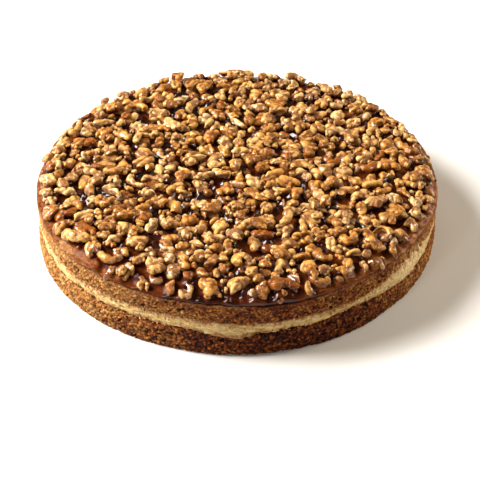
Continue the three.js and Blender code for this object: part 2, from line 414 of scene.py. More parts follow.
def nut_plan(rng, kind):
    """The folds that make up each piece: which piece each belongs to, its middle line and its
    girth. The first fold lies through the middle. The others take turns on its two sides,
    each set off from a place along it by `beside` millimetres and `swerve` degrees, and
    twice as much for the second on a side; those set off sink as the square of how far."""
    held = rng.integers(kind["folds"][0], kind["folds"][1] + 1, kind["count"])
    piece = np.repeat(np.arange(kind["count"]), held)
    number = np.arange(len(piece)) - np.repeat(np.cumsum(held) - held, held)
    first = number == 0
    rank = np.ceil(number / 2)
    hand = np.where(number % 2, 1, -1) * rng.choice([-1, 1], kind["count"])[piece]

    def between(key):
        return rng.uniform(*kind[key], len(piece))

    size = rng.uniform(*PIECE_SIZES, kind["count"])[piece]
    length = between("length") * size * np.where(first, 1, between("shorter"))
    girth = between("girth") * np.sqrt(size)
    curl = between("curl") * rng.choice([-1, 1], len(piece))
    sway = rng.normal(0, kind["sway"], len(piece))
    heading = np.where(first, 0, np.radians(between("swerve")) * rank * hand)
    main = fold_paths(0 * length[first], length[first], curl[first], sway[first], 0.5)[piece]
    place = (between("where") * (PATH_STEPS - 1)).astype(int)
    row = np.arange(len(piece))
    before, after = np.maximum(place - 1, 0), np.minimum(place + 1, PATH_STEPS - 1)
    way = main[row, after] - main[row, before]
    heading = heading + np.arctan2(way[:, 1], way[:, 0])
    line = fold_paths(heading, length, curl, sway, kind["anchor"])
    beside = between("beside") * rank * hand
    off = np.stack([-way[:, 1], way[:, 0]], -1) / np.linalg.norm(way, axis=1)[:, None]
    line[..., :2] += (main[row, place, :2] + off * beside[:, None])[:, None]
    line[..., 2] -= (BESIDE_SINKS * beside**2)[:, None]
    pitch = np.clip(rng.normal(0, kind["pitch"], len(piece)), -STEEPEST, STEEPEST)
    climb = np.tan(np.radians(pitch))
    u = np.linspace(0, 1, PATH_STEPS) - kind["anchor"]
    line[..., 2] += (climb * length)[:, None] * u
    line = np.where(first[:, None, None], main, line)
    return piece, line, girth


def nut_grid(rings, spokes):
    """Where the rings of a fold lie along its middle line, by 0.5 - cos(t) / 2, and the turn
    of each spoke. The first and the last ring are the two ends."""
    t = np.linspace(0, np.pi, rings + 2)
    return 0.5 - np.cos(t) / 2, np.linspace(0, 2 * np.pi, spokes, endpoint=False)


def nut_faces(count, rings, spokes):
    """Faces of `count` closed folds, each of `rings` rings between two end vertices."""
    body = band_faces(rings, spokes) + 1
    ring = np.arange(spokes)
    after = (ring + 1) % spokes
    last = rings * spokes + 1
    top = last - spokes
    start_cap = np.stack([0 * ring, after + 1, ring + 1], -1)
    end_cap = np.stack([0 * ring + last, ring + top, after + top], -1)
    shift = (np.arange(count) * (last + 1))[:, None, None]
    caps = np.concatenate([start_cap, end_cap])
    return [(body + shift).reshape(-1, 4), (caps + shift).reshape(-1, 3)]


def only_one_pole(grid):
    """(folds, rings, spokes, n) as (folds, vertices, n), with the first and the last ring,
    whose spokes all meet, as one vertex each."""
    count, width = len(grid), grid.shape[-1]
    body = grid[:, 1:-1].reshape(count, -1, width)
    ends = [grid[:, k].mean(axis=1, keepdims=True) for k in (0, -1)]
    return np.concatenate([ends[0], body, ends[1]], axis=1)


def seam_depth(piece, skin, line, radius):
    """How near each vertex lies to the other folds of its piece: 1 on their skin or inside,
    0 from SEAM_REACH away. Every two folds of a piece are paired, and a fold's skin is
    taken as its radius round AXIS_STEPS places on its middle line."""
    nearest = np.full(skin.shape[:2], np.inf)
    at = np.linspace(0.12, 0.88, AXIS_STEPS) * (PATH_STEPS - 1)
    axis = line[:, at.astype(int)]
    for shift in range(1, MOST_FOLDS):
        earlier = np.flatnonzero(piece[shift:] == piece[:-shift])
        later = earlier + shift
        if not len(earlier):
            continue
        for here, there in ((later, earlier), (earlier, later)):
            gap = np.linalg.norm(skin[here][:, :, None] - axis[there][:, None], axis=-1).min(-1)
            nearest[here] = np.minimum(nearest[here], gap - radius[there][:, None])
    return np.clip(1 - nearest / SEAM_REACH, 0, 1)


def smooth_folds(rng, kind, line, girth):
    """Each fold's skin (folds, vertices, 3) and which way is out. It is swept along the middle
    line with the radius r (1 - |2u - 1|^n)^0.5, so both ends are round. The radius tapers
    to one end, and the section is an oval that turns along the fold."""
    place, spoke = nut_grid(kind["rings"], kind["spokes"])
    along = np.gradient(line, axis=1)
    along /= np.linalg.norm(along, axis=-1, keepdims=True)
    at = np.round(place * (PATH_STEPS - 1)).astype(int)
    side = np.cross([0, 0, 1], along)
    side /= np.linalg.norm(side, axis=-1, keepdims=True)
    over = np.cross(along, side)
    length = np.linalg.norm(np.diff(line, axis=1), axis=-1).sum(-1)
    power = np.clip(0.6 + length / girth, 2, 4.5)[:, None]
    taper = 1 + rng.uniform(-0.22, 0.22, (len(line), 1)) * (2 * place - 1)
    radius = girth[:, None] / 2 * taper * np.sqrt(1 - np.abs(2 * place - 1) ** power)
    twist = rng.uniform(-2.5, 2.5, (len(line), 1)) * place + rng.uniform(0, 6, (len(line), 1))
    radius = radius[..., None] * (1 + 0.14 * np.cos(2 * spoke + twist[..., None]))
    ray = np.cos(spoke)[:, None] * side[:, at, None] + np.sin(spoke)[:, None] * over[:, at, None]
    return only_one_pole(line[:, at, None] + radius[..., None] * ray), only_one_pole(ray)


def knife_cuts(rng, kind, piece, skin):
    """Presses each piece flat beyond a few planes, and gives how far each vertex is in a cut
    face, from 0 to 1. A plane lies at a chance share of how far the piece reaches its way."""
    cut = np.zeros(skin.shape[:2])
    for _ in range(kind["planes"]):
        normal = rng.normal(0, 1, (kind["count"], 3)) * [1, 1, 0.8]
        normal /= np.linalg.norm(normal, axis=1, keepdims=True)
        height = (skin * normal[piece][:, None]).sum(-1)
        furthest = np.zeros(kind["count"])
        np.maximum.at(furthest, piece, height.max(axis=1))
        plane = furthest * rng.uniform(0.45, 0.8, kind["count"])
        plane[rng.random(kind["count"]) > kind["cut"]] = np.inf
        excess = np.maximum(height - plane[piece][:, None], 0)
        skin -= KNIFE_CUTS_OFF * excess[..., None] * normal[piece][:, None]
        cut = np.maximum(cut, smooth_step(0, 0.25, excess))
    return cut


def nut_pieces(rng, kind):
    """Shapes of one kind of nut piece: the piece of each fold, the folds (folds, vertices, 3), and
    each vertex's crease and cut, the crease being where shade is painted. The folds are swollen by
    noise, creased along the zero lines of a second noise and filled out beside the other folds of
    their piece."""
    piece, line, girth = nut_plan(rng, kind)
    skin, out = smooth_folds(rng, kind, line, girth)
    own = skin + rng.uniform(0, 400, (kind["count"], 1, 3))[piece]
    size, depth = kind["crease"]
    ridge = np.minimum(np.abs(swell(own, size, 41)) / 0.5, 1) ** 0.6
    lump = 0.5 * swell(own, 5, 43) + 0.25 * swell(own, 1.7, 44)
    lift = (lump + depth * (ridge - 0.7)) * np.minimum(girth / 4, 1)[:, None]
    skin += out * lift[..., None]
    seam = seam_depth(piece, skin, line, girth / 2)
    skin += out * (0.25 * SEAM_REACH * seam**2)[..., None]
    # Painted shade in the creases and where the folds of a piece meet, partly also caramel run into
    # them.
    groove = np.maximum((1 - ridge) * min(depth, 1), 0.9 * smooth_step(0.6, 1, seam))
    cut = knife_cuts(rng, kind, piece, skin)
    return piece, skin, groove, cut


# ---------------------------------------------------------------- the bed of nuts

# Of each kind: how many pieces; the rings and spokes of a fold's mesh; how many folds a piece
# has, how long they are, how long the others are as a share of the first, and their girth;
# their curl and sway in radians; where along the first fold the others are set off, which
# share of their own length lies there, how far beside it and by how many degrees they
# swerve; their pitch in degrees; the size and depth of the creases; the knife's planes and
# the share of pieces that each one cuts; and by how many degrees a piece leans at most
NUT_KINDS = {
    "walnut_fans": {
        "count": 20, "rings": 20, "spokes": 14, "folds": (4, 5), "length": (10, 14),
        "shorter": (0.8, 1.05), "girth": (4.4, 5.6), "curl": (0, 0.6), "sway": 0.12,
        "where": (0, 0.06), "anchor": 0, "beside": (0, 0.3), "swerve": (20, 27), "pitch": 5,
        "crease": (5.0, 0.8), "planes": 1, "cut": 0.3, "tilt": 14,
    },
    "walnut_kernels": {
        "count": 106, "rings": 28, "spokes": 22, "folds": (1, 1), "length": (10, 17),
        "shorter": (1, 1), "girth": (5.4, 7.8), "curl": (0.3, 2.6), "sway": 0.4,
        "where": (0.5, 0.5), "anchor": 0.5, "beside": (0, 0), "swerve": (0, 0), "pitch": 7,
        "crease": (5.2, 2.3), "planes": 3, "cut": 0.5, "tilt": 15,
    },
    "walnut_pairs": {
        "count": 90, "rings": 22, "spokes": 16, "folds": (2, 3), "length": (9, 15),
        "shorter": (0.5, 0.9), "girth": (4.4, 6.2), "curl": (0.3, 2.2), "sway": 0.4,
        "where": (0.15, 0.85), "anchor": 0.5, "beside": (2.4, 4.2), "swerve": (10, 80), "pitch": 8,
        "crease": (4.6, 1.6), "planes": 3, "cut": 0.5, "tilt": 14,
    },
    "walnut_hooks": {
        "count": 100, "rings": 24, "spokes": 14, "folds": (1, 2), "length": (12, 20),
        "shorter": (0.35, 0.6), "girth": (4.0, 5.8), "curl": (1.3, 4.6), "sway": 0.5,
        "where": (0.1, 0.9), "anchor": 0, "beside": (0, 0.5), "swerve": (55, 110), "pitch": 7,
        "crease": (4.6, 1.3), "planes": 3, "cut": 0.4, "tilt": 11,
    },
    "walnut_knots": {
        "count": 56, "rings": 18, "spokes": 14, "folds": (2, 4), "length": (7.5, 12),
        "shorter": (0.6, 1.0), "girth": (3.6, 5.2), "curl": (0.8, 3.2), "sway": 0.5,
        "where": (0.2, 0.8), "anchor": 0.5, "beside": (0.5, 3.0), "swerve": (25, 95), "pitch": 12,
        "crease": (4.0, 1.1), "planes": 2, "cut": 0.4, "tilt": 16,
    },
    "walnut_chips": {
        "count": 34, "rings": 18, "spokes": 16, "folds": (1, 2), "length": (7.5, 12),
        "shorter": (0.6, 0.9), "girth": (4.4, 6.4), "curl": (0.1, 1.0), "sway": 0.2,
        "where": (0.3, 0.7), "anchor": 0.5, "beside": (1.5, 2.5), "swerve": (0, 60), "pitch": 12,
        "crease": (5.0, 0.9), "planes": 6, "cut": 0.75, "tilt": 25,
    },
    "walnut_knuckles": {
        "count": 190, "rings": 14, "spokes": 14, "folds": (1, 2), "length": (5.2, 9),
        "shorter": (0.6, 1.0), "girth": (3.4, 5.4), "curl": (0.2, 2.2), "sway": 0.4,
        "where": (0.3, 0.7), "anchor": 0.5, "beside": (1.0, 2.2), "swerve": (20, 80), "pitch": 20,
        "crease": (3.6, 1.6), "planes": 3, "cut": 0.5, "tilt": 35,
    },
    "walnut_bits": {
        "count": 270, "rings": 8, "spokes": 9, "folds": (1, 2), "length": (2.2, 5.0),
        "shorter": (0.6, 0.9), "girth": (1.6, 3.2), "curl": (0.2, 1.5), "sway": 0.2,
        "where": (0.3, 0.7), "anchor": 0.5, "beside": (0.7, 1.4), "swerve": (20, 80), "pitch": 20,
        "crease": (2.4, 0.6), "planes": 3, "cut": 0.8, "tilt": 50,
    },
    "walnut_crumbs": {
        "count": 180, "rings": 4, "spokes": 6, "folds": (1, 1), "length": (1.0, 2.2),
        "shorter": (1, 1), "girth": (0.8, 1.7), "curl": (0.1, 0.5), "sway": 0.1,
        "where": (0.5, 0.5), "anchor": 0.5, "beside": (0, 0), "swerve": (0, 0), "pitch": 20,
        "crease": (2.0, 0.1), "planes": 2, "cut": 0.8, "tilt": 60,
    },
}
CARAMEL_LEVEL = GLAZE_TOP - 1.4  # the caramel between the nuts
BED_RADIUS = 122  # out to here the nuts lie, on the whole
CELL = 0.6  # spacing of the maps over the top
HALF_MAP = 250  # cells from the middle of a map to its side
PRESSED = 0.84  # share of its height that a piece keeps
TRIES = 20  # places that each piece is held over before it is let go
AIR_COUNTS_TO = 6  # gaps under a piece count up to so deep
SIDE_SHUNNED = 60  # what keeps the pieces from lying beyond the side
BARE_SHUNNED = 9  # what keeps some patches barer than others
FRONT_SHUNNED = 1.2  # what keeps the pieces fewer at the very front
FRONT_FROM, FRONT_TO = 92, 112  # from here to there, towards the front, it comes to count
ROOTED_HEIGHT = 1.2  # above the caramel; a piece lower than this stands in it
BED_SHOULDER = 4.2  # how much lower the bed lies at the cake's side than inside


def bed_reach(direction):
    """How far from the middle the centres of the nut pieces lie: out to the rim, furthest
    left of the front and least right of it, by two bells, with an edge made uneven by two
    sines."""
    uneven = 0.9 * np.sin(np.radians(7 * direction + 40)) + 0.7 * np.sin(np.radians(17 * direction))
    return BED_RADIUS + 2 * hump(direction, -125, 60) - 2 * hump(direction, -40, 20) + uneven


def shoulder(points):
    """Points of the flat bed bent down over the rim of the cake."""
    bent = points.copy()
    bent[..., 2] -= BED_SHOULDER * shoulder_drop(np.hypot(points[..., 0], points[..., 1]))
    return bent


def turned_pieces(rng, piece, shapes, tilt):
    """The pieces turned at random about Z after leaning over by up to `tilt` degrees about a
    level axis, by the product of the rotation matrices."""
    count = piece[-1] + 1
    lean = np.radians(rng.uniform(-tilt, tilt, count))
    spin, heading = rng.uniform(0, 2 * np.pi, (2, count))
    one, nil = np.ones(count), np.zeros(count)

    def about_z(angle):
        c, s = np.cos(angle), np.sin(angle)
        return np.array([[c, -s, nil], [s, c, nil], [nil, nil, one]])

    c, s = np.cos(lean), np.sin(lean)
    about_x = np.array([[one, nil, nil], [nil, c, -s], [nil, s, c]])
    turn = np.einsum("ijn,jkn,kln->nil", about_z(heading), about_x, about_z(spin))
    return np.einsum("nij,nvj->nvi", turn[piece], shapes) * [1, 1, PRESSED]


def footprint(points):
    """Map cells that a piece covers, relative to its own, with its lowest and highest point
    over each."""
    cell = np.round(points[:, :2] / CELL).astype(int)
    cells, group = np.unique(cell, axis=0, return_inverse=True)
    group = group.ravel()
    low, high = np.full(len(cells), np.inf), np.full(len(cells), -np.inf)
    np.minimum.at(low, group, points[:, 2])
    np.maximum.at(high, group, points[:, 2])
    return cells, low, high


class Bed:
    """The top of the cake while nuts are dropped on it: `top` maps the height reached so far,
    `rooted` the cells where a piece stands in the caramel and `shunned` how much higher a
    piece would rather lie than there: beyond the side, at the very front, or in a patch that
    noise keeps bare."""

    def __init__(self):
        axis = (np.arange(2 * HALF_MAP + 1) - HALF_MAP) * CELL
        self.y, self.x = np.meshgrid(axis, axis, indexing="ij")
        on_cake = np.hypot(self.x, self.y) < CAKE_RADIUS
        self.top = np.where(on_cake, CARAMEL_LEVEL, CARAMEL_LEVEL - 3)
        self.rooted = np.zeros(self.top.shape)
        flat = np.stack([self.x, self.y, 0 * self.x], -1)
        bare = np.maximum(swell(flat, 26, 71) + 0.4 * swell(flat, 9, 72) - 0.25, 0)
        self.shunned = BARE_SHUNNED * bare
        self.shunned += SIDE_SHUNNED * (np.hypot(self.x, self.y) > CAKE_RADIUS - 1)
        self.shunned += FRONT_SHUNNED * smooth_step(FRONT_FROM, FRONT_TO, -self.y)

    def drop(self, rng, points, sink):
        """Moves one piece to where it comes to lie lowest of TRIES places, with the least air
        under it, and records it."""
        cells, low, high = footprint(points)
        direction = rng.uniform(-180, 180, TRIES)
        away = bed_reach(direction) * np.sqrt(rng.random(TRIES))
        spot = round_points(direction, away, 0 * away)[:, :2]
        home = np.round(spot / CELL).astype(int)
        ix = home[:, None, 0] + cells[:, 0] + HALF_MAP
        iy = home[:, None, 1] + cells[:, 1] + HALF_MAP
        room = self.top[iy, ix] - low
        rest = room.max(axis=1)
        air = np.minimum(rest[:, None] - room, AIR_COUNTS_TO).mean(axis=1)
        best = (rest + air + self.shunned[iy, ix].mean(axis=1)).argmin()
        shift = np.array([*(home[best] * CELL), rest[best] - sink])
        iy, ix = iy[best], ix[best]
        self.top[iy, ix] = np.maximum(self.top[iy, ix], high + shift[2])
        standing = low + shift[2] < CARAMEL_LEVEL + ROOTED_HEIGHT
        self.rooted[iy[standing], ix[standing]] = 1
        return points + shift

    def blurred(self, field, width):
        """The map smoothed by a bell `width` millimetres wide, as a product in frequencies."""
        f = [np.fft.fftfreq(n, CELL) for n in field.shape]
        bell = np.exp(-2 * (np.pi * width) ** 2 * (f[0][:, None] ** 2 + f[1] ** 2))
        return np.fft.ifft2(np.fft.fft2(field) * bell).real

    def at(self, field, x, y):
        """A map's values at any places, straight between its cells."""
        u = np.clip(x / CELL + HALF_MAP, 0, 2 * HALF_MAP - 1.001)
        v = np.clip(y / CELL + HALF_MAP, 0, 2 * HALF_MAP - 1.001)
        i, j = v.astype(int), u.astype(int)
        s, t = v - i, u - j
        lower = field[i, j] * (1 - t) + field[i, j + 1] * t
        upper = field[i + 1, j] * (1 - t) + field[i + 1, j + 1] * t
        return lower * (1 - s) + upper * s


SINKS_IN = 0.3, 1.1  # how deep a piece sinks into the caramel; small ones less
TONE, TONE_SPREAD = 0.62, 0.14  # how pale the pieces are, from 0 to 1
DARK_SHARE, DARK_TONE = 0.03, 0.15  # a few pieces with dark skin
# The stain is also painted shade at the foot of each piece.
SOAK_HEIGHT = 3.0  # how far above the caramel a piece is stained by it


def lay_nuts(rng, bed):
    """Drops every piece, the large kinds first, and gives the arrays of each kind: shapes, painted
    crease shade, cut faces and tones."""
    laid = {}
    for name, kind in NUT_KINDS.items():
        piece, shapes, groove, cut = nut_pieces(rng, kind)
        shapes = turned_pieces(rng, piece, shapes, kind["tilt"])
        sink = rng.uniform(*SINKS_IN, kind["count"]) * min(1, kind["girth"][1] / 4)
        ends = np.cumsum(np.bincount(piece))
        for start, end, depth in zip(ends - np.bincount(piece), ends, sink):
            points = bed.drop(rng, shapes[start:end].reshape(-1, 3), depth)
            shapes[start:end] = points.reshape(end - start, -1, 3)
        tone = np.clip(rng.normal(TONE, TONE_SPREAD, kind["count"]), 0, 1)
        tone = np.where(rng.random(kind["count"]) < DARK_SHARE, DARK_TONE, tone)[piece]
        laid[name] = (shapes, groove, cut, tone[:, None] + 0 * groove)
    return laid


def walnut_pieces(laid, bed, caramel):
    """One mesh of each kind of nut, with its painted shade in the creases, cut faces, tone and how
    deep each vertex stands in the caramel, which stains it and paints shade at its foot."""
    made = []
    for name, (points, groove, cut, tone) in laid.items():
        kind = NUT_KINDS[name]
        above = points[..., 2] - bed.at(caramel, points[..., 0], points[..., 1])
        piece = put_mesh(
            name,
            shoulder(points).reshape(-1, 3),
            nut_faces(len(points), kind["rings"], kind["spokes"]),
            "walnut",
            groove=groove,
            cut=cut,
            tone=tone,
            # soak is the caramel's stain and also painted shade at the foot of each piece.
            soak=1 - smooth_step(0, SOAK_HEIGHT, above),
        )
        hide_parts("walnut_bed")
        made.append(piece)
    return made


# ---------------------------------------------------------------- caramel

# The glaze is three meshes, one round the other: these two and the rim
GLAZE_PARTS = {
    "caramel_pool": {"inner": 0.6, "outer": 58, "columns": 600, "rings": 106},
    "caramel_ring": {"inner": 58, "outer": 92, "columns": 900, "rings": 62},
}
RIM_INNER = GLAZE_PARTS["caramel_ring"]["outer"]
RIM_COLUMNS, RIM_RINGS = 1200, 56
GLAZE_ROLL, ROLL_ROWS = 2.4, 10  # how far in from the side the rim turns down
HEM_LEAST, HEM_ROWS = 1.4, 6  # how far the hem hangs down where it is shortest
HEM_FOLD = 4  # how far in the rim's underside goes
FILM_FROM, FILM_TO = 118.5, 122  # from here to there the caramel thins out to the rim's film
WALL = 1.5  # height of the short walls between the meshes


def caramel_maps(bed):
    """Maps of the caramel's height and thickness. It lies level, with slow swells, and climbs
    against the nuts that stand in it, by two blurs of the map of where they stand; the wide blur
    gives the thickness too, which also paints shade into the caramel between crowded nuts."""
    crowd = bed.blurred(bed.rooted, 2.4)
    climb = 2.4 * bed.blurred(bed.rooted, 0.9) + 2.2 * crowd
    flat = np.stack([bed.x, bed.y, 0 * bed.x], -1)
    level = CARAMEL_LEVEL + climb + 0.35 * swell(flat, 14, 51) + 0.2 * swell(flat, 4, 52)
    return level, np.clip(0.45 + 0.9 * crowd, 0, 1)


def put_glaze(name, points, thick, wet):
    """A mesh of the glaze, with how thick and how wet it is at each vertex."""
    rows, columns = thick.shape
    faces = [band_faces(rows, columns), lid_faces(rows, columns)]
    piece = put_mesh(name, points.reshape(-1, 3), faces, "caramel", thick=thick, wet=wet)
    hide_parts("caramel_glaze")
    return piece


def caramel_part(bed, level, depth, name):
    """The glaze between two radii: a polar grid that takes its heights from the caramel's
    map, with a short wall down from each edge."""
    part = GLAZE_PARTS[name]
    direction = np.linspace(-180, 180, part["columns"], endpoint=False)
    radius = np.linspace(part["outer"], part["inner"], part["rings"])[:, None]
    over = round_points(direction, radius, 0 * radius)
    over[..., 2] = bed.at(level, over[..., 0], over[..., 1])
    outer_wall = round_points(direction, part["outer"] - 0.2, over[:1, :, 2] - WALL)
    inner_wall = round_points(direction, part["inner"] + 0.2, over[-1:, :, 2] - WALL)
    points = np.concatenate([outer_wall, over, inner_wall])
    thick = bed.at(depth, points[..., 0], points[..., 1])
    return put_glaze(name, points, thick, 1 + 0 * thick)


def rim_film_and_painted_light(direction, rim):
    """How thick the caramel is that runs over the rim, with noise along it. The bell that makes it
    thickest, and so darkest, at the front is partly painted shade, and the bell that makes it
    thinnest right of the front, where its colour turns to a pale mauve, is painted light and sheen."""
    # Painted shade at the front, painted light and sheen right of it.
    film = 0.27 + 0.43 * hump(direction, -90, 36) - 0.24 * hump(direction, -22, 38)
    return film + 0.16 * swell(rim, 5, 57)


def rim_wetness(direction, radius):
    """How wet the caramel is near the rim: it dries from one radius to the next, later and
    less at the front."""
    front = hump(direction, -80, 21)
    dull = smooth_step(104 + 8 * front, 113 + 6 * front, radius)
    return 1 - dull * (0.97 - 0.7 * front)


def caramel_rim(bed, level, depth):
    """The outer part of the glaze. Its rows run from the inner wall's foot over the top, down
    a quarter ellipse at the rim and a thin uneven hem over the sponge's side, and back
    inside. The caramel there thins out to a film and dries."""
    direction = np.linspace(-180, 180, RIM_COLUMNS, endpoint=False)
    low = layer_edge("caramel_glaze")(direction)[0]
    outline = layer_edge("top_sponge")(direction)[2]
    rim = round_points(direction, outline, 0 * outline)
    edge = outline + 0.3 + 0.35 * swell(rim, 7, 58)
    share = np.linspace(0, 1, RIM_RINGS)[:, None]
    over = round_points(direction, RIM_INNER + share * (edge - GLAZE_ROLL - RIM_INNER), 0 * share)
    over[..., 2] = bed.at(level, over[..., 0], over[..., 1])
    thick = bed.at(depth, over[..., 0], over[..., 1])
    over = shoulder(over)

    turn = np.linspace(0, np.pi / 2, ROLL_ROWS)[1:, None]
    lip = np.minimum(low - 0.6 + 0.6 * swell(rim, 8, 56), over[-1, :, 2] - 0.8)
    roll = round_points(
        direction,
        edge - GLAZE_ROLL * (1 - np.sin(turn)),
        lip + (over[-1:, :, 2] - lip) * np.cos(turn),
    )
    roll[..., 2] += 0.3 * np.sin(2 * turn) * swell(roll, 4, 59)
    drip = 1.1 + 1.5 * np.maximum(swell(rim, 12, 54), -0.4) + 0.8 * swell(rim, 3.5, 55)
    down = np.linspace(0.2, 1, HEM_ROWS)[:, None]
    hem_radius = edge - 0.35 * down - 0.75 * down**3
    hem = round_points(direction, hem_radius, lip - down * (drip + HEM_LEAST))
    inside = round_points(direction, RIM_INNER + 0.2, over[:1, :, 2] - WALL)
    under = round_points(direction, edge - HEM_FOLD, lip[None] - drip - HEM_LEAST)
    points = np.concatenate([under, hem[::-1], roll[::-1], over[::-1], inside])

    # film carries the rim's painted shade at the front and painted sheen right of it.
    film = rim_film_and_painted_light(direction, rim)[None]
    thinned = smooth_step(FILM_FROM, FILM_TO, np.hypot(over[..., 0], over[..., 1]))
    thick = thick + (film - thick) * thinned
    rows_outside = len(under) + len(hem) + len(roll)
    thick = np.concatenate([np.repeat(film, rows_outside, 0), thick[::-1], thick[:1]])
    wet = rim_wetness(direction, np.hypot(points[..., 0], points[..., 1]))
    return put_glaze("caramel_rim", points, thick, wet)


# ---------------------------------------------------------------- loose crumb

CRUMBS = 2400
CRUMB_RINGS, CRUMB_SPOKES = 3, 6
CRUMB_PLACES = [0.35, 0.25, 0.25, 0.15]  # shares: anywhere, on the lower and upper seam, between


def side_crumbs(rng, count):
    """Loose grains of sponge on the side: small balls, squashed and dented by noise, more of them
    along the seams and a share on the filling between them."""
    direction = rng.uniform(-180, 180, count)
    low, high, outline = layer_edge("cream_filling")(direction)
    top = layer_edge("top_sponge")(direction)[1]
    anywhere = rng.uniform(1, top - 1)
    seams = [rng.normal(low, 1.3), rng.normal(high, 1.3)]
    between = rng.uniform(low, high)
    height = np.choose(rng.choice(4, count, p=CRUMB_PLACES), [anywhere, *seams, between])
    size = 0.32 + 0.5 * rng.random(count) ** 2.5
    lean = np.pi / 2 * np.linspace(-1, 1, CRUMB_RINGS + 2)[:, None]
    spoke = np.linspace(0, 2 * np.pi, CRUMB_SPOKES, endpoint=False)
    ball = [np.cos(lean) * np.cos(spoke), np.cos(lean) * np.sin(spoke), np.sin(lean) + 0 * spoke]
    ball = np.stack(ball, -1)
    grains = size[:, None, None, None] * ball * rng.uniform(0.7, 1.25, (count, 1, 1, 3))
    centre = round_points(direction, outline - 0.15, height)[:, None, None]
    grains = grains + centre
    grains += 0.3 * size[:, None, None, None] * ball * swell(grains, 0.5, 61)[..., None]
    points = only_one_pole(grains)
    tone = rng.random(count)[:, None] + np.zeros(points.shape[:2])
    return put_mesh(
        "sponge_crumbs",
        points.reshape(-1, 3),
        nut_faces(count, CRUMB_RINGS, CRUMB_SPOKES),
        "sponge",
        tone=tone,
    )


# ---------------------------------------------------------------- shader maths


class Wire:
    """A socket that arithmetic can be written on; each operation adds a Math node."""

    def __init__(self, finish, socket):
        self.finish, self.socket = finish, socket

    def math(self, operation, *values):
        sockets = dict(enumerate(values))
        return self.finish.node("Math", {"operation": operation}, sockets)

    def __add__(self, other):
        return self.math("ADD", self, other)

    def __sub__(self, other):
        return self.math("SUBTRACT", self, other)

    def __rsub__(self, other):
        return self.math("SUBTRACT", other, self)

    def __mul__(self, other):
        return self.math("MULTIPLY", self, other)

    __radd__, __rmul__ = __add__, __mul__

    def clamped(self):
        return self.math("MINIMUM", self.math("MAXIMUM", self, 0), 1)

    def size(self):
        return self.math("ABSOLUTE", self)

    def between(self, low, high):
        """0 where the value is at low, 1 where it is at high, smooth between."""
        settings = {"interpolation_type": "SMOOTHSTEP"}
        sockets = {"Value": self, "From Min": low, "From Max": high}
        return self.finish.node("MapRange", settings, sockets)


class Finish:
    """A material's node tree, with a Principled shader that gloss() sets up."""

    def __init__(self, name):
        self.material = bpy.data.materials.new(name)
        self.material.use_nodes = True
        self.tree = self.material.node_tree
        self.tree.nodes.clear()

    def node(self, kind, settings=None, sockets=None, out=0):
        """Adds a node of that type, sets its settings and then its sockets, each to a value
        or to a link, and gives one of its outputs."""
        made = self.tree.nodes.new("ShaderNode" + kind)
        for key, value in (settings or {}).items():
            if key == "stops":
                self.set_stops(made.color_ramp, value)
            else:
                setattr(made, key, value)
        for key, value in (sockets or {}).items():
            if isinstance(value, Wire):
                self.tree.links.new(value.socket, made.inputs[key])
            else:
                made.inputs[key].default_value = value
        return Wire(self, made.outputs[out]) if made.outputs else None

    def set_stops(self, ramp, stops):
        while len(ramp.elements) < len(stops):
            ramp.elements.new(0.5)
        for element, (place, color) in zip(ramp.elements, stops):
            element.position = place
            element.color = (*color, 1)

    def attribute(self, name):
        return self.node("Attribute", {"attribute_name": name}, out="Fac")

    def place(self):
        return self.node("TexCoord", out="Object")

    def noise(self, size, detail=3, rough=0.55, stretch=(1, 1, 1)):
        """Cloudy noise from 0 to 1 with features `size` millimetres across."""
        vector = self.place()
        if stretch != (1, 1, 1):
            vector = self.node("Mapping", None, {"Vector": vector, "Scale": stretch})
        sockets = {"Vector": vector, "Scale": 1 / (size * MM), "Detail": detail, "Roughness": rough}
        return self.node("TexNoise", None, sockets, out="Fac")

    def ramp(self, value, *stops):
        return self.node("ValToRGB", {"stops": stops}, {"Fac": value})

    def mix(self, factor, a, b):
        """Colour a turning into colour b as the factor goes from 0 to 1."""
        a, b = [c if isinstance(c, Wire) else (*c, 1) for c in (a, b)]
        return self.node("Mix", {"data_type": "RGBA"}, {0: factor, 6: a, 7: b}, out=2)

    def bump(self, height, depth):
        """Normal of a surface that the height, from 0 to 1, lifts by depth millimetres."""
        sockets = {"Height": height, "Distance": depth * MM, "Strength": 1}
        return self.node("Bump", None, sockets)

    def gloss(self, **sockets):
        """Ends the tree in a Principled shader; a keyword's _ stands for a space."""
        named = {k.replace("_", " "): v for k, v in sockets.items()}
        shader = self.node("BsdfPrincipled", {"subsurface_method": "RANDOM_WALK"}, named)
        self.node("OutputMaterial", None, {"Surface": shader})
        return self.material


def srgb(red, green, blue):
    """A screen colour from 0 to 255 as linear light: ((c / 255 + 0.055) / 1.055)^2.4."""
    return tuple(((c / 255 + 0.055) / 1.055) ** 2.4 for c in (red, green, blue))


# ---------------------------------------------------------------- finishes


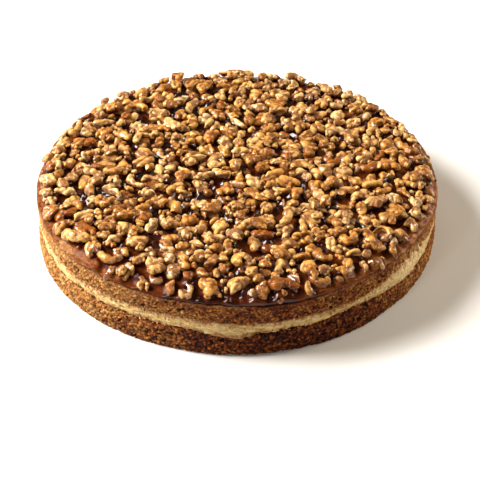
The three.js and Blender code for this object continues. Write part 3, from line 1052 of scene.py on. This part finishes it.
def sponge_finish():
    """Torn brown crumb: grains from brown to tan, painted shade nearly black in the crevices and
    pores, painted light that makes it paler where the lamps fall on the side, real pale streaks
    where the filling is smeared, and a wet dark stain under the caramel at the top."""
    f = Finish("brown_sponge")
    pore, tone, soaked, pale = [f.attribute(n) for n in ("pore", "tone", "soaked", "pale")]
    fine = f.noise(1.2, 4, 0.7)
    patches = f.noise(12, 2)
    # pale brings painted light into the tone, as well as the filling's streaks.
    shade = (tone * 0.4 + fine * 0.9 + patches * 0.3 + pale * 0.4 - 0.5).clamped()
    color = f.ramp(
        shade,
        (0.1, srgb(90, 34, 4)),
        (0.35, srgb(146, 72, 20)),
        (0.6, srgb(181, 122, 53)),
        (0.95, srgb(200, 180, 128)),
    )
    # Painted light: paler where the lamps fall on the side, and really paler where the filling is
    # smeared.
    color = f.mix((pale * 0.4).clamped(), color, srgb(188, 153, 92))
    # Painted shade: crevices and pores painted nearly black, less on the side painted as lit.
    color = f.mix((pore * (1.15 - pale * 0.7)).clamped(), color, srgb(30, 7, 0))
    color = f.mix(soaked * (0.6 - pale * 0.3), color, srgb(66, 25, 5))
    return f.gloss(
        Base_Color=color,
        Roughness=0.9 - soaked * 0.25,
        Specular_IOR_Level=0.18,
        Normal=f.bump(f.noise(0.5, 3, 0.7), 0.35),
        Subsurface_Weight=0.08,
        Subsurface_Radius=(1.0, 0.45, 0.2),
        Subsurface_Scale=0.001,
    )


def cream_finish():
    """Pale filling with spreader streaks along it, a few brown specks and a deeper tone
    where it thins out at the edges."""
    f = Finish("cream_filling")
    streaks = f.noise(5, 3, 0.6, stretch=(1, 1, 4))
    edge = f.attribute("edge")
    color = f.ramp(
        streaks,
        (0.3, srgb(154, 119, 55)),
        (0.5, srgb(180, 148, 83)),
        (0.7, srgb(205, 184, 130)),
    )
    ragged = ((edge - 0.3) + (f.noise(2.6, 3) - 0.5) * 2.4).between(0.1, 0.6)
    smeared = f.attribute("smeared")
    color = f.mix(smeared * streaks * 0.9, color, srgb(226, 204, 158))
    color = f.mix(ragged * (0.8 - smeared * 0.5), color, srgb(140, 82, 28))
    specks = f.noise(1.3, 3).between(0.58, 0.66)
    color = f.mix(specks * 0.7, color, srgb(116, 60, 18))
    return f.gloss(
        Base_Color=color,
        Roughness=0.5 + f.noise(2) * 0.15,
        Normal=f.bump(f.noise(1.1, 3), 0.25),
        Subsurface_Weight=0.35,
        Subsurface_Radius=(1.0, 0.7, 0.4),
        Subsurface_Scale=0.0025,
    )


def caramel_finish():
    """Thick caramel, which lies between crowded nuts, is nearly black under a glossy skin, partly
    painted shade between them. Thin caramel is amber, and the film over the rim is brown and only
    satin, with a painted mauve sheen where it is thinnest, smears along it and bare crumb here and
    there."""
    f = Finish("caramel")
    thick = f.attribute("thick")
    streaks = f.noise(6, 3, 0.6, stretch=(1, 1, 5)) - 0.5
    depth = (thick + (f.noise(7, 3) - 0.5) * 0.75 + streaks * (1 - thick) * 0.7).clamped()
    # The lowest stops paint a mauve sheen on the thinnest film; the darkest are partly painted
    # shade between crowded nuts.
    color = f.ramp(
        depth,
        (0.02, srgb(156, 108, 84)),
        (0.15, srgb(97, 61, 38)),
        (0.3, srgb(98, 50, 15)),
        (0.5, srgb(74, 29, 3)),
        (0.7, srgb(42, 9, 0)),
        (1.0, srgb(12, 2, 0)),
    )
    bare = f.noise(3.2, 3, 0.7, stretch=(1, 1, 4)).between(0.5, 0.64)
    color = f.mix((bare * (0.9 - thick * 1.5)).clamped(), color, srgb(152, 96, 46))
    return f.gloss(
        Base_Color=color,
        Roughness=0.5 - thick * 0.3,
        Normal=f.bump(f.noise(2.2, 2), 0.3),
        Specular_IOR_Level=0.04,
        Coat_Weight=f.attribute("wet") * 0.7,
        Coat_Roughness=0.05,
        Coat_IOR=1.4,
    )


def walnut_finish():
    """Glazed walnut: golden to orange brown by piece, with darker skin in places, painted shade in
    the folds and fine creases, partly caramel run into them, paler where cut, and stained and
    glossy where it stands in caramel, with painted shade at its foot."""
    f = Finish("glazed_walnut")
    groove, cut, tone, soak = [f.attribute(n) for n in ("groove", "cut", "tone", "soak")]
    shade = (tone + (f.noise(2.5, 4, 0.6) - 0.5) * 0.55).clamped()
    color = f.ramp(
        shade,
        (0.0, srgb(112, 54, 8)),
        (0.25, srgb(167, 99, 24)),
        (0.6, srgb(203, 150, 72)),
        (1.0, srgb(228, 198, 142)),
    )
    color = f.mix(cut * 0.3, color, srgb(220, 192, 142))
    skin = f.noise(4, 3, 0.6).between(0.57, 0.68)
    color = f.mix(skin * 0.14, color, srgb(124, 60, 14))
    wrinkle = 1 - (f.noise(3.4, 2) - 0.5).size().between(0, 0.045)
    # Painted shade along the fine creases that the bump presses in.
    color = f.mix(wrinkle * 0.28, color, srgb(128, 62, 10))
    # Painted shade in the folds and where they meet, partly caramel run into them.
    color = f.mix((groove * 1.3).clamped() * 0.85, color, srgb(100, 42, 4))
    # Caramel stain and painted shade on the lower part, darkest at the foot in the caramel.
    color = f.mix(soak * 0.9, color, srgb(98, 44, 6))
    film = (soak * 1.1 + f.noise(3.5, 2).between(0.46, 0.6) * 0.7).clamped()
    return f.gloss(
        Base_Color=color,
        Roughness=0.36,
        Specular_IOR_Level=0.38,
        Specular_Tint=(1, 0.78, 0.5, 1),
        Normal=f.bump(f.noise(1.3, 3, 0.6) - wrinkle * 0.6, 0.4),
        Subsurface_Weight=0.1,
        Subsurface_Radius=(1.0, 0.5, 0.2),
        Subsurface_Scale=0.0012,
        Coat_Weight=film,
        Coat_Roughness=0.07,
        Coat_IOR=1.45,
    )


def crumb_finish():
    """Loose grains of sponge, from brown to tan."""
    f = Finish("sponge_grains")
    color = f.ramp(
        (f.attribute("tone") * 0.8 + f.noise(0.8) * 0.3).clamped(),
        (0.1, srgb(104, 56, 24)),
        (0.55, srgb(164, 104, 54)),
        (0.95, srgb(210, 158, 98)),
    )
    return f.gloss(Base_Color=color, Roughness=0.9, Normal=f.bump(f.noise(0.4), 0.15))


# ---------------------------------------------------------------- studio

# In metres and watts
FLOOR_HALF = 8.0
FLOOR_GAP = 0.0002  # the floor lies this far below the cake
COOL, WARM = (1, 0.972, 0.935), (1, 0.87, 0.7)  # the lamps' colours
LIGHTS = {
    "key": {"spot": (-0.99, 0.15, 0.84), "size": 0.7, "watts": 65, "color": COOL},
    "right": {"spot": (1.12, 0.3, 0.45), "size": 0.6, "watts": 14, "color": WARM},
    "fill": {"spot": (0.25, -0.7, 1.3), "size": 1.4, "watts": 3.0, "color": WARM},
    "glint": {"spot": (-0.5, -0.86, 0.55), "size": 0.18, "watts": 1.5, "color": COOL},
    "back": {"spot": (-0.25, 1.1, 0.85), "size": 0.4, "watts": 1.0, "color": WARM},
}
WORLD_COLOR, WORLD_LIGHT = (1, 0.7, 0.45, 1), 0.065


def floor_finish():
    """A pale matt floor, a little uneven in tone."""
    f = Finish("studio_floor")
    color = f.mix(f.noise(300, 1), (0.68, 0.68, 0.67), (0.71, 0.71, 0.70))
    return f.gloss(Base_Color=color, Roughness=0.8)


def studio():
    """A pale floor under the cake, a key light from the left, three weaker ones, a small
    one that glints on the caramel, and a dim warm world."""
    corners = FLOOR_HALF * np.array([[-1, -1, 0], [1, -1, 0], [1, 1, 0], [-1, 1, 0]])
    mesh = bpy.data.meshes.new("floor")
    mesh.from_pydata((corners - [0, 0, FLOOR_GAP]).tolist(), [], [(0, 1, 2, 3)])
    mesh.materials.append(floor_finish())
    floor = bpy.data.objects.new("floor", mesh)
    bpy.context.scene.collection.objects.link(floor)
    for name, light in LIGHTS.items():
        lamp = bpy.data.lights.new(name, "AREA")
        lamp.size, lamp.energy, lamp.color = light["size"], light["watts"], light["color"]
        holder = bpy.data.objects.new(name, lamp)
        holder.location = light["spot"]
        holder.rotation_euler = Vector(light["spot"]).to_track_quat("Z", "Y").to_euler()
        bpy.context.scene.collection.objects.link(holder)
    world = bpy.data.worlds.new("studio")
    world.use_nodes = True
    background = world.node_tree.nodes["Background"]
    background.inputs["Color"].default_value = WORLD_COLOR
    background.inputs["Strength"].default_value = WORLD_LIGHT
    bpy.context.scene.world = world
    bpy.context.scene.view_settings.view_transform = "Standard"


# ---------------------------------------------------------------- the cake


def dress(pieces, finish):
    """Gives each piece a finish."""
    for piece in pieces:
        piece.data.materials.append(finish)


def bake_cake():
    """Makes every piece and gives each its finish. One seed settles all that is left to
    chance."""
    rng = np.random.default_rng(7)
    sponges = [sponge_layer("bottom_sponge"), sponge_layer("top_sponge")]
    dress(sponges, sponge_finish())
    dress([cream_layer()], cream_finish())
    dress([side_crumbs(rng, CRUMBS)], crumb_finish())
    bed = Bed()
    laid = lay_nuts(rng, bed)
    level, depth = caramel_maps(bed)
    glaze = [caramel_part(bed, level, depth, name) for name in GLAZE_PARTS]
    dress([*glaze, caramel_rim(bed, level, depth)], caramel_finish())
    dress(walnut_pieces(laid, bed, level), walnut_finish())


place_camera()
bake_cake()
studio()
